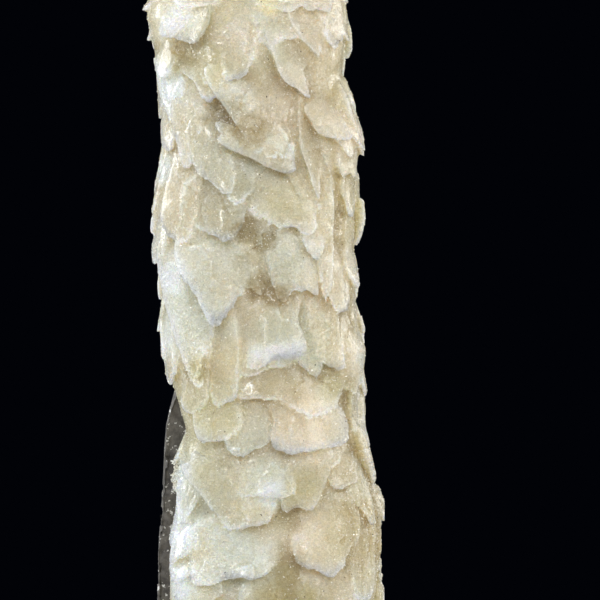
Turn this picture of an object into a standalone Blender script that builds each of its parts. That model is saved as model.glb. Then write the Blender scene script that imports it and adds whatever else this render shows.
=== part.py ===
"""A quartz specimen: an upright finger of milky quartz, built of overlapping blades whose free lips
hang downwards, grown over a slab of dark host rock that shows at its back and lower left edge.

Frame: the specimen stands on its sawn base at Z = 0, its front faces -Y, and +X is to the right of
someone who looks at the front. Every number below is in millimetres or degrees.
"""

import math
import random
from typing import NamedTuple

import bmesh
import bpy
from mathutils import Matrix, Vector

MM = 0.001

# The massive quartz under the blades: at each height, its left, right, front and back faces.
CORE_STATIONS = [
    (-3.0, -22.2, 27.5, -19.0, 15.0),
    (12.5, -22.4, 28.0, -19.0, 15.0),
    (25.0, -22.2, 30.4, -19.0, 15.0),
    (35.0, -20.8, 29.8, -19.0, 15.2),
    (45.0, -20.6, 26.2, -18.8, 15.4),
    (54.0, -18.4, 23.4, -18.6, 15.5),
    (62.0, -20.6, 23.0, -18.6, 15.6),
    (69.0, -22.6, 25.8, -18.8, 15.8),
    (76.0, -23.8, 26.4, -19.0, 16.0),
    (84.0, -24.4, 23.0, -18.8, 16.0),
    (90.0, -23.2, 23.8, -18.8, 16.0),
    (98.0, -26.0, 23.2, -18.8, 16.0),
    (110.0, -25.8, 23.0, -18.8, 16.4),
    (119.0, -24.8, 24.2, -18.9, 17.0),
    (128.0, -23.2, 25.2, -18.8, 17.5),
    (135.0, -23.8, 22.4, -18.6, 18.0),
    (142.0, -25.8, 20.4, -18.4, 17.5),
    (149.0, -25.8, 21.2, -18.2, 17.2),
    (158.0, -28.2, 22.2, -17.4, 16.0),
    (165.0, -27.4, 21.0, -15.8, 14.5),
    (171.5, -20.0, 15.0, -12.5, 12.0),
    (177.2, -12.0, 7.0, -7.5, 7.0),
    (180.0, -6.0, 1.0, -3.0, 3.0),
]
CORE_SIDES = 20
CORE_SQUARENESS = 2.6  # exponent of the superellipse that is the column's section
CORE_ROUGHNESS = 0.5  # how far a corner of the core strays from that section
CORE_SEED = 3

# How every blade is made: a wedge whose face stands proud at the lip and falls gently to the root.
BLADE_SIDES = 11
BLADE_THICKNESS = 1.3
BACK_SHARE = 0.72  # the outline of its back as a share of the face's, so that the rim is undercut
BACK_DEPTH = 1.2  # how far the back lies behind the rim's middle, in thicknesses
FACE_DOME = 0.3  # how far the middle of the face stands over its rim
BLADE_CHIPPING = 0.08  # how far a corner strays, as a share of the half width
BEND_RADIUS = 26.0  # a blade bends round the column, about this radius
RELIEF = 0.4  # share of a blade's proud height that is built
ROOT_DEPTH = 0.9  # how deep the root's end lies under the core's surface
ROOT_SHARE = 0.2  # of a blade's length, what its buried root adds to it

# The slab of host rock: at each height, its left and right edges. Low down its left edge is bare.
SLAB_STATIONS = [
    (0.0, -27.0, 17.5),
    (30.0, -25.2, 16.5),
    (63.0, -23.2, 14.0),
    (72.0, -19.5, 14.5),
    (84.0, -14.5, 12.0),
    (100.0, -12.5, 9.0),
    (112.0, -9.0, 6.0),
]
SLAB_FRONT = 4.5
SLAB_THICKNESS = 12.5
SLAB_CUTS = 7  # cuts across each of its faces, whose corners the break has moved
SLAB_ROUGHNESS = 1.0
SLAB_SEED = 5
SLAB_GAP = 0.3  # between the rock and the quartz


class Blade(NamedTuple):
    """One blade, as it is seen from the front of the specimen."""

    x: float  # of its lip
    z: float  # of its lip
    width: float
    length: float  # from the lip up to the root
    roll: float = 0.0  # how far the lip points to the right of straight down
    proud: float = 3.0  # height of the lip over the core
    skew: float = 0.0  # turn about its own length: positive lifts the right edge
    squareness: float = 2.2  # exponent of its outline: under 2 is pointed, over 3 is square


UPPER_BLADES = [
    Blade(-28.2, 152.2, 12.0, 18.0, -3, 3.2, 0, 4.0),
    Blade(-21.0, 151.5, 13.0, 12.0, -12, 5.2, 0, 5.0),
    Blade(-13.0, 137.8, 11.5, 20.0, 10, 2.6, 0, 2.0),
    Blade(-12.0, 140.5, 4.5, 11.0, 5, 3.6, 0, 2.0),
    Blade(-6.0, 142.5, 9.5, 24.0, -4, 3.3, 0, 3.0),
    Blade(8.0, 121.2, 9.5, 27.0, 35, 3.6, -12, 1.4),
    Blade(9.2, 119.8, 6.5, 19.0, 57, 4.2, -12, 1.5),
    Blade(11.5, 138.2, 10.0, 20.0, 22, 3.6, -12, 1.8),
    Blade(15.0, 147.0, 7.0, 20.0, 20, 3.3, -15, 1.8),
    Blade(19.5, 150.0, 9.0, 16.0, -5, 3.0, 0, 2.2),
    Blade(22.5, 151.0, 9.0, 14.0, 0, 3.0, 0, 2.2),
    Blade(5.8, 150.5, 11.0, 18.0, 5, 2.3, 0, 2.5),
    Blade(-25.0, 142.5, 8.0, 8.0, -20, 3.4, 0, 1.6),
    Blade(-21.0, 136.5, 7.0, 12.0, 12, 3.0, 0, 1.6),
    Blade(-22.0, 133.8, 5.0, 13.0, 25, 2.3, 0, 1.8),
    Blade(-24.8, 133.5, 6.0, 7.0, -10, 2.6, 0, 1.8),
    Blade(-23.0, 124.2, 7.0, 12.0, 0, 2.4, 0, 2.0),
    Blade(-17.5, 122.5, 9.0, 19.0, 0, 1.7, 0, 2.4),
]

MIDDLE_BLADES = [
    Blade(-9.0, 114.5, 10.0, 17.5, 17, 3.3, 0, 1.8),
    Blade(-5.0, 112.0, 7.0, 11.0, 5, 2.5, 0, 2.0),
    Blade(5.0, 107.0, 22.0, 24.0, 0, 1.7, 0, 4.0),
    Blade(-11.0, 102.8, 15.0, 19.0, -3, 3.5, 4, 2.2),
    Blade(-21.2, 102.2, 10.0, 20.0, 0, 3.6, 0, 4.0),
    Blade(14.5, 113.2, 6.0, 29.0, 5, 3.7, -20, 1.6),
    Blade(22.0, 128.0, 9.0, 12.0, 42, 2.6, 0, 2.0),
    Blade(24.5, 123.5, 7.5, 11.0, 45, 2.6, 0, 2.0),
    Blade(26.8, 125.0, 9.0, 13.0, 0, 3.8, 0, 2.0),
    Blade(22.5, 117.2, 9.0, 11.0, 0, 3.1, 0, 2.2),
    Blade(22.5, 109.2, 6.0, 11.0, 12, 2.5, 0, 1.8),
    Blade(16.8, 87.5, 4.0, 28.0, 0, 3.1, 25, 1.6),
    Blade(12.2, 104.2, 9.0, 12.0, 22, 2.9, 0, 2.0),
    Blade(-9.8, 82.0, 15.5, 29.0, 10, 4.2, -4, 1.9),
    Blade(-0.5, 89.2, 4.0, 9.0, 22, 1.6, 0, 1.7),
    Blade(8.0, 87.0, 8.5, 20.0, 11, 3.0, 0, 2.0),
    Blade(14.8, 97.5, 5.0, 11.0, 18, 3.3, 0, 1.8),
    Blade(12.5, 88.8, 6.0, 10.0, 5, 3.1, 0, 3.0),
    Blade(20.5, 84.0, 9.0, 15.0, 5, 2.9, 0, 2.2),
    Blade(24.0, 90.8, 7.0, 9.0, 0, 3.0, 0, 2.0),
    Blade(-25.8, 97.0, 8.0, 9.0, -5, 3.6, 0, 1.7),
    Blade(-15.0, 69.2, 11.5, 30.0, 9, 3.1, 0, 2.0),
    Blade(-16.0, 67.0, 8.0, 12.0, -12, 2.3, 0, 2.0),
    Blade(-26.0, 78.8, 8.0, 12.0, 5, 3.5, 0, 1.8),
    Blade(-21.5, 67.0, 5.0, 16.0, 12, 2.9, 0, 1.6),
    Blade(3.5, 71.5, 18.5, 17.0, 3, 5.2, 0, 4.5),
    Blade(0.5, 69.2, 15.0, 9.0, 5, 3.6, 0, 4.0),
    Blade(-8.5, 62.0, 8.0, 22.0, 0, 3.0, 12, 4.0),
    Blade(12.2, 69.0, 8.5, 16.0, -8, 3.5, 0, 1.9),
    Blade(19.2, 70.0, 8.5, 18.0, 10, 3.1, 0, 2.4),
    Blade(27.0, 63.5, 12.0, 23.0, 0, 6.2, 0, 1.8),
    Blade(23.0, 63.0, 6.0, 19.0, 0, 3.2, 20, 1.8),
]

LOWER_BLADES = [
    Blade(13.0, 50.2, 20.0, 15.0, 3, 5.2, 0, 4.5),
    Blade(13.8, 59.0, 15.0, 10.0, 0, 4.4, 0, 2.4),
    Blade(-17.0, 59.5, 9.0, 11.0, -18, 2.3, 0, 2.0),
    Blade(-10.5, 52.0, 13.0, 15.0, 5, 1.9, 0, 2.5),
    Blade(1.2, 63.0, 16.0, 8.0, 3, 2.7, 0, 4.0),
    Blade(-2.5, 48.8, 12.0, 14.0, 0, 1.7, 0, 2.5),
    Blade(23.8, 55.5, 5.5, 9.0, 5, 2.7, 0, 2.0),
    Blade(27.5, 45.5, 8.0, 13.0, 18, 4.0, 0, 1.5),
    Blade(3.0, 38.2, 17.0, 12.0, 6, 4.6, 0, 2.2),
    Blade(-1.5, 30.8, 15.0, 13.0, 6, 3.1, 0, 2.2),
    Blade(8.0, 34.0, 11.0, 19.0, -24, 2.7, 0, 2.0),
    Blade(18.2, 46.2, 4.5, 6.0, 5, 2.8, 0, 2.0),
    Blade(22.5, 41.0, 9.0, 8.0, 15, 2.9, 0, 2.0),
    Blade(-22.0, 46.0, 8.0, 8.0, -15, 3.1, 0, 1.7),
    Blade(-22.5, 42.0, 4.0, 7.0, -50, 2.7, 0, 1.3),
    Blade(-3.2, 31.2, 8.0, 20.0, 36, 2.7, 0, 1.6),
    Blade(-19.0, 32.0, 9.0, 14.0, 0, 2.7, 0, 2.0),
    Blade(-20.8, 22.0, 8.0, 11.0, 0, 3.6, 0, 2.2),
    Blade(-20.8, 16.8, 9.0, 8.0, 0, 3.1, 0, 2.2),
    Blade(-6.0, 17.0, 23.5, 16.0, 12, 4.6, 0, 2.3),
    Blade(15.5, 19.2, 16.0, 18.0, -8, 4.1, 0, 2.1),
    Blade(31.2, 17.5, 9.0, 22.0, 0, 3.1, 0, 2.0),
    Blade(28.0, 32.0, 6.0, 16.0, 8, 2.7, 0, 1.8),
    Blade(31.4, 32.5, 7.0, 12.0, 0, 3.1, 0, 1.8),
    Blade(25.5, 12.0, 8.0, 19.0, 0, 2.3, 15, 1.8),
    Blade(-4.0, 10.5, 8.0, 11.0, -30, 3.1, 0, 1.8),
    Blade(3.0, 7.5, 5.0, 10.0, 5, 2.2, 0, 1.8),
    Blade(-17.5, 9.5, 13.0, 11.0, -5, 3.6, 0, 2.2),
    Blade(15.5, 4.0, 13.0, 16.0, 0, 2.3, 0, 2.5),
]

# Rows of blades round the sides and the back, and over the tip.
WILD_SEED = 11
WILD_ROW_STEP = 12.0
WILD_SPACING = 13.5
WILD_WIDTH = (9.0, 16.0)
WILD_LENGTH = (10.0, 17.0)
WILD_PROUD = (1.4, 3.6)
WILD_ROLL = 26.0
WILD_SKEW = 14.0
WILD_SQUARENESS = (1.9, 3.0)
FRONT_HALF_ANGLE = 80.0  # inside it, and between these heights, only the listed blades grow
FRONT_HEIGHTS = (4.0, 158.0)

SHOULDER = 148.0  # above it the column closes in, and the wild blades are shorter and straighter
TIP_SHARE = 0.6
HIGHEST_ROW = 173.0

# The core and its blades are fused in voxels, which are then gathered into flat faces.
FUSING_VOXEL = 0.5
SMALLEST_EDGE = 0.01
KEPT_FACES = 0.0245

QUARTZ_COLOUR = (0.59, 0.55, 0.42)
QUARTZ_ROUGHNESS = 0.38
ROCK_COLOUR = (0.10, 0.09, 0.075)
ROCK_ROUGHNESS = 0.75


def lerp(a, b, t):
    return a + (b - a) * t


def faces_at(stations, z):
    """What a list of stations gives at a height, between two of them."""
    z = min(max(z, stations[0][0]), stations[-1][0])
    below = max(station for station in stations if station[0] <= z)
    above = min(station for station in stations if station[0] >= z)
    t = (z - below[0]) / (above[0] - below[0]) if above[0] > below[0] else 0.0
    return [lerp(a, b, t) for a, b in zip(below[1:], above[1:])]


def core_section(z):
    """Centre and half sizes of the column's section at a height."""
    left, right, front, back = faces_at(CORE_STATIONS, z)
    return (left + right) / 2, (front + back) / 2, (right - left) / 2, (back - front) / 2


def core_surface(angle, z):
    """Point and level outward normal on the column, at an angle from the front, positive rightwards."""
    cx, cy, half_x, half_y = core_section(z)
    east, north = math.sin(math.radians(angle)), -math.cos(math.radians(angle))
    p = CORE_SQUARENESS
    radius = (abs(east / half_x) ** p + abs(north / half_y) ** p) ** (-1 / p)
    x, y = radius * east, radius * north
    slope_x = math.copysign(abs(x) ** (p - 1) / half_x**p, x)
    slope_y = math.copysign(abs(y) ** (p - 1) / half_y**p, y)
    height = min(z, CORE_STATIONS[-1][0])
    return Vector((cx + x, cy + y, height)), Vector((slope_x, slope_y, 0.0)).normalized()


def angle_seen_at(x, z, proud):
    """Angle round the column at which something this proud of it is seen at x from the front."""
    low, high = -95.0, 95.0
    for _ in range(24):
        middle = (low + high) / 2
        point, normal = core_surface(middle, z)
        if point.x + normal.x * proud < x:
            low = middle
        else:
            high = middle
    return (low + high) / 2


def turned(vector, degrees, axis):
    return Matrix.Rotation(math.radians(degrees), 3, axis) @ vector


def blade_placement(angle, z, length, roll, proud, skew):
    """Matrix that puts a blade on the column: its X runs across, its Z from the lip up to the root,
    and its -Y out of its face."""
    foot, outward = core_surface(angle, z)
    head, _ = core_surface(angle, z + length)
    down = (foot - head).normalized()
    across = outward.cross(down).normalized()
    normal = down.cross(across)
    down = turned(down, roll, normal)
    across = turned(across, roll, normal)
    down = turned(down, -math.degrees(math.atan((proud + ROOT_DEPTH) / length)), across)
    across = turned(across, skew, down)
    face = down.cross(across)
    rotation = Matrix((across, -face, -down)).transposed()
    return Matrix.Translation(foot + normal * proud) @ rotation.to_4x4()


def add_blade(bm, placement, width, length, squareness, rng):
    """A wedge: a cone frustum with its outline pulled into a superellipse, bent round the column."""
    phase = rng.uniform(0, math.tau)
    thickness = BLADE_THICKNESS * rng.uniform(0.8, 1.15)
    made = bmesh.ops.create_cone(
        bm,
        cap_ends=True,
        cap_tris=True,
        segments=BLADE_SIDES,
        radius1=BACK_SHARE,
        radius2=1.0,
        depth=1.0,
        matrix=Matrix.Rotation(rng.uniform(0, math.tau), 4, "Z"),
    )
    for vertex in made["verts"]:
        radius = math.hypot(vertex.co.x, vertex.co.y)
        turn = math.atan2(vertex.co.y, vertex.co.x)
        east, north = math.cos(turn), math.sin(turn)
        reach = (abs(east) ** squareness + abs(north) ** squareness) ** (-1 / squareness)
        reach *= radius * (1 + BLADE_CHIPPING * math.sin(4 * turn + phase))
        on_face = vertex.co.z > 0
        x = east * reach * width / 2
        y = thickness * (-0.5 if on_face else BACK_DEPTH) + x * x / (2 * BEND_RADIUS)
        if on_face and radius < 0.01:
            y -= FACE_DOME
        z = (north * reach + 1) * length / 2
        vertex.co = placement @ Vector((x, y, z))


def grow_blade(bm, angle, z, width, length, roll, proud, skew, squareness, rng):
    """One blade in its place on the column; its root runs on under the core's surface."""
    whole_length = length * (1 + ROOT_SHARE)
    placement = blade_placement(angle, z, whole_length, roll, proud * RELIEF, skew)
    add_blade(bm, placement, width, whole_length, squareness, rng)


def grow_listed_blades(bm, rng):
    for blade in UPPER_BLADES + MIDDLE_BLADES + LOWER_BLADES:
        angle = angle_seen_at(blade.x, blade.z, blade.proud * RELIEF)
        grow_blade(bm, angle, *blade[1:], rng)


def on_bare_rock(angle, z):
    """True where the slab shows, at the back and low on the left, and no blade hides it."""
    low_left = z < 66 and -150 < angle < -95
    return low_left or (z < SLAB_STATIONS[-1][0] - 8 and abs(angle) > 150)


def grow_wild_blades(bm, rng):
    """Row by row from the base to the tip, everywhere but on the front and on the bare rock."""
    z = WILD_ROW_STEP * 0.3
    while z < HIGHEST_ROW:
        _, _, half_x, half_y = core_section(z)
        count = round(math.pi * (half_x + half_y) / WILD_SPACING)
        start = rng.uniform(0, 360)
        for i in range(count):
            angle = (start + 360 * i / count + rng.uniform(-8, 8) + 180) % 360 - 180
            height = z + rng.uniform(-0.3, 0.3) * WILD_ROW_STEP
            width, length = rng.uniform(*WILD_WIDTH), rng.uniform(*WILD_LENGTH)
            roll, skew = rng.uniform(-WILD_ROLL, WILD_ROLL), rng.uniform(-WILD_SKEW, WILD_SKEW)
            squareness = rng.uniform(*WILD_SQUARENESS)
            at_front = abs(angle) < FRONT_HALF_ANGLE and FRONT_HEIGHTS[0] < height < FRONT_HEIGHTS[1]
            proud = rng.uniform(*WILD_PROUD)
            if height > SHOULDER:
                length, roll = length * TIP_SHARE, roll * TIP_SHARE
            if at_front or on_bare_rock(angle, height):
                continue
            grow_blade(bm, angle, height, width, length, roll, proud, skew, squareness, rng)
        z += WILD_ROW_STEP


def core_mesh():
    """The column itself, as a loft between the sections at its stations."""
    rng = random.Random(CORE_SEED)
    bm = bmesh.new()
    rings = []
    for z, *_ in CORE_STATIONS:
        ring = []
        for side in range(CORE_SIDES):
            point, normal = core_surface(360 * side / CORE_SIDES, z)
            point += normal * rng.uniform(-CORE_ROUGHNESS, CORE_ROUGHNESS)
            ring.append(bm.verts.new(point))
        rings.append(ring)
    for lower, upper in zip(rings, rings[1:]):
        for side in range(CORE_SIDES):
            after = (side + 1) % CORE_SIDES
            bm.faces.new((lower[side], lower[after], upper[after], upper[side]))
    bm.faces.new(reversed(rings[0]))
    bm.faces.new(rings[-1])
    bmesh.ops.triangulate(bm, faces=bm.faces)
    bmesh.ops.recalc_face_normals(bm, faces=bm.faces)
    return bm


def slab_mesh(grow):
    """The slab of host rock, with a broken back, right side and top, widened all round by grow."""
    rng = random.Random(SLAB_SEED)
    bm = bmesh.new()
    bmesh.ops.create_cube(bm, size=2.0)
    bmesh.ops.subdivide_edges(bm, edges=bm.edges, cuts=SLAB_CUTS, use_grid_fill=True)
    for vertex in bm.verts:
        x, y, z = vertex.co
        left_edge, front, back, top, base = x < -0.99, y < -0.99, y > 0.99, z > 0.99, z < -0.99
        height = SLAB_STATIONS[-1][0] * (z + 1) / 2
        left, right = faces_at(SLAB_STATIONS, height)
        place = Vector((lerp(left, right, (x + 1) / 2), 0, height))
        place.y = SLAB_FRONT + SLAB_THICKNESS * (y + 1) / 2
        stray = Vector(rng.uniform(-SLAB_ROUGHNESS, SLAB_ROUGHNESS) for _ in range(3))
        right_edge = x > 0.99
        place.x += right_edge * stray.x / 2 + grow * (right_edge - left_edge)
        place.y += back * stray.y + grow * (back - front)
        place.z += top * stray.z / 2 + grow * (top - base)
        vertex.co = place
    bmesh.ops.triangulate(bm, faces=bm.faces, quad_method="FIXED")
    return bm


def new_object(name, bm, collection):
    """A mesh object in metres from a bmesh in millimetres."""
    bmesh.ops.scale(bm, vec=(MM, MM, MM), verts=bm.verts)
    mesh = bpy.data.meshes.new(name)
    bm.to_mesh(mesh)
    bm.free()
    made = bpy.data.objects.new(name, mesh)
    collection.objects.link(made)
    return made


def new_helper(name, bm, collection):
    """An object that only shapes another one."""
    helper = new_object(name, bm, collection)
    helper.hide_render = True
    helper.display_type = "WIRE"
    return helper


def new_collection(name):
    collection = bpy.data.collections.new(name)
    bpy.context.scene.collection.children.link(collection)
    return collection


def add_boolean(target, operation, name, helpers):
    """An exact Boolean of the target with every object in a collection."""
    modifier = target.modifiers.new(name, "BOOLEAN")
    modifier.operation = operation
    modifier.solver = "EXACT"
    modifier.operand_type = "COLLECTION"
    modifier.collection = helpers


def bodies_of(bm):
    """The faces of each separate body; two that only touch along an edge are two bodies."""
    left = set(bm.faces)
    bodies = []
    while left:
        body = [left.pop()]
        for face in body:
            sound = [edge for edge in face.edges if len(edge.link_faces) == 2]
            near = {other for edge in sound for other in edge.link_faces} & left
            left -= near
            body.extend(near)
        bodies.append(body)
    return bodies


def keep_largest_body(target):
    """Applies the modifiers and drops the crumbs that the cuts part from the main body."""
    evaluated = target.evaluated_get(bpy.context.evaluated_depsgraph_get())
    bm = bmesh.new()
    bm.from_mesh(evaluated.to_mesh())
    bmesh.ops.remove_doubles(bm, verts=bm.verts, dist=SMALLEST_EDGE * MM)
    bmesh.ops.triangulate(bm, faces=bm.faces)
    bmesh.ops.dissolve_degenerate(bm, edges=bm.edges, dist=SMALLEST_EDGE * MM)
    bodies = sorted(bodies_of(bm), key=len)
    crumbs = [face for body in bodies[:-1] for face in body]
    bmesh.ops.delete(bm, geom=crumbs, context="FACES")
    bmesh.ops.triangulate(bm, faces=bm.faces)
    target.modifiers.clear()
    bm.to_mesh(target.data)
    bm.free()


def set_material(target, name, colour, roughness):
    material = bpy.data.materials.new(name)
    material.use_nodes = True
    shader = material.node_tree.nodes["Principled BSDF"]
    shader.inputs["Base Color"].default_value = (*colour, 1.0)
    shader.inputs["Roughness"].default_value = roughness
    shader.inputs["Metallic"].default_value = 0.0
    target.data.materials.append(material)


def clear_scene():
    for item in list(bpy.data.objects):
        bpy.data.objects.remove(item)


def main():
    clear_scene()
    parts = new_collection("quartz_specimen")
    cutters = new_collection("cutters")

    rng = random.Random(WILD_SEED)
    bm = core_mesh()
    grow_listed_blades(bm, rng)
    grow_wild_blades(bm, rng)
    quartz = new_object("bladed_quartz", bm, parts)
    fuse = quartz.modifiers.new("fuse", "REMESH")
    fuse.mode = "VOXEL"
    fuse.voxel_size = FUSING_VOXEL * MM
    flatten = quartz.modifiers.new("flatten", "DECIMATE")
    flatten.ratio = KEPT_FACES

    new_helper("slab_pocket", slab_mesh(SLAB_GAP), cutters)
    below = bmesh.new()
    bmesh.ops.create_cube(below, size=100.0, matrix=Matrix.Translation((0, 0, -50)))
    new_helper("below_the_base", below, cutters)
    add_boolean(quartz, "DIFFERENCE", "cuts", cutters)
    keep_largest_body(quartz)
    set_material(quartz, "milky_quartz", QUARTZ_COLOUR, QUARTZ_ROUGHNESS)

    rock = new_object("host_rock", slab_mesh(0.0), parts)
    set_material(rock, "dark_host_rock", ROCK_COLOUR, ROCK_ROUGHNESS)


main()
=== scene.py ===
"""Looks of the quartz specimen: a finger of milky quartz covered in overlapping blades, on dark rock.

Lengths are in millimetres, and only meshes, lights and camera are in metres. x is to the right seen
from the front, the front faces -y, and z is the height over the flat base. The blades are those of the
CAD model, but for a dozen that are a little smaller, moved or turned, and flatter ones on its flanks.
"""

import math
import random
from typing import NamedTuple

import bmesh
import bpy
import numpy as np
from mathutils import Matrix, Vector, kdtree


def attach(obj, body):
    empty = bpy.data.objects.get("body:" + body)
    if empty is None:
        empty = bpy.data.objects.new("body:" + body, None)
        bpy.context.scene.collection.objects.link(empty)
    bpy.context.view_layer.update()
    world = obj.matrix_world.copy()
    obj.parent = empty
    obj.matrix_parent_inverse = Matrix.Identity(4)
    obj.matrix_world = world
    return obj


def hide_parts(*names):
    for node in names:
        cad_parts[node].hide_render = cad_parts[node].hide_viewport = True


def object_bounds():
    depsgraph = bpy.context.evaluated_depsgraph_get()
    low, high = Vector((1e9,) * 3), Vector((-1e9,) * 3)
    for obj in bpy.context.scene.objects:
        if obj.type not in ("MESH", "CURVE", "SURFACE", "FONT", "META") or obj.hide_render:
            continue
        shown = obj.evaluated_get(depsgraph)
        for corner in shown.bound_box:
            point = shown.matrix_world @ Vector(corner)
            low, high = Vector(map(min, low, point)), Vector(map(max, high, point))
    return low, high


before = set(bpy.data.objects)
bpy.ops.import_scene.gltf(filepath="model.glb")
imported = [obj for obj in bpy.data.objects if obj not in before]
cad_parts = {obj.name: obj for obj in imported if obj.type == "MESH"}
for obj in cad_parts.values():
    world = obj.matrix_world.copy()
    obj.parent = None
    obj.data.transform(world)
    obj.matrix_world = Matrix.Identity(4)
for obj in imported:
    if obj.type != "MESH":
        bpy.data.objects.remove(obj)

CAD_BOX = [list(corner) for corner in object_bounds()]
MM = 0.001

# The massive quartz under the blades: at each height, its left, right, front and back faces.
CORE_STATIONS = [
    (-3, -22.2, 27.5, -19, 15),
    (12.5, -22.4, 28, -19, 15),
    (25, -22.2, 30.4, -19, 15),
    (35, -20.8, 29.8, -19, 15.2),
    (45, -20.6, 26.2, -18.8, 15.4),
    (54, -18.4, 23.4, -18.6, 15.5),
    (62, -20.6, 23, -18.6, 15.6),
    (69, -22.6, 25.8, -18.8, 15.8),
    (76, -23.8, 26.4, -19, 16),
    (84, -24.4, 23, -18.8, 16),
    (90, -23.2, 23.8, -18.8, 16),
    (98, -26, 23.2, -18.8, 16),
    (110, -25.8, 23, -18.8, 16.4),
    (119, -24.8, 24.2, -18.9, 17),
    (128, -23.2, 25.2, -18.8, 17.5),
    (135, -23.8, 22.4, -18.6, 18),
    (142, -25.8, 20.4, -18.4, 17.5),
    (149, -25.8, 21.2, -18.2, 17.2),
    (158, -28.2, 22.2, -17.4, 16),
    (165, -27.4, 21, -15.8, 14.5),
    (171.5, -20, 15, -12.5, 12),
    (177.2, -12, 7, -7.5, 7),
    (180, -6, 1, -3, 3),
]
RELIEF = 0.4  # share of a blade's height over the core that is kept
CORE_SQUARENESS = 2.6  # exponent of the superellipse that is the column's section
BLADE_THICKNESS = 1.3
BLADE_CHIPPING = 0.08
BEND_RADIUS = 26.0
ROOT_DEPTH = 0.9
ROOT_SHARE = 0.2

SLAB_STATIONS = [
    (0, -27, 17.5),
    (30, -25.2, 16.5),
    (63, -23.2, 14),
    (72, -19.5, 14.5),
    (84, -14.5, 12),
    (100, -12.5, 9),
    (112, -9, 6),
]
SLAB_FRONT = 4.5
SLAB_THICKNESS = 12.5
SLAB_CUTS = 7  # cuts across each face, whose corners the break has moved
SLAB_ROUGHNESS = 1.0
SLAB_SEED = 5
BARE_BACK = 150.0  # angle from the front beyond which the slab shows, up to BARE_BACK_TOP
BARE_BACK_TOP = 104.0
BARE_LEFT = -95.0  # from here to the bare back the slab shows too, up to BARE_LEFT_TOP
BARE_LEFT_TOP = 66.0
ROCK_BURIED = 1.2  # how far the quartz has grown into the faces of the rock


class Blade(NamedTuple):
    """One blade, as it is seen from the front of the specimen."""

    x: float  # of its lip
    z: float  # of its lip
    width: float
    length: float  # from the lip up to the root
    roll: float  # how far the lip points to the right of straight down
    proud: float  # height of the lip over the core
    skew: float  # turn about its own length: positive lifts the right edge
    squareness: float  # exponent of its outline: under 2 is pointed, over 3 is square


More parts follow.
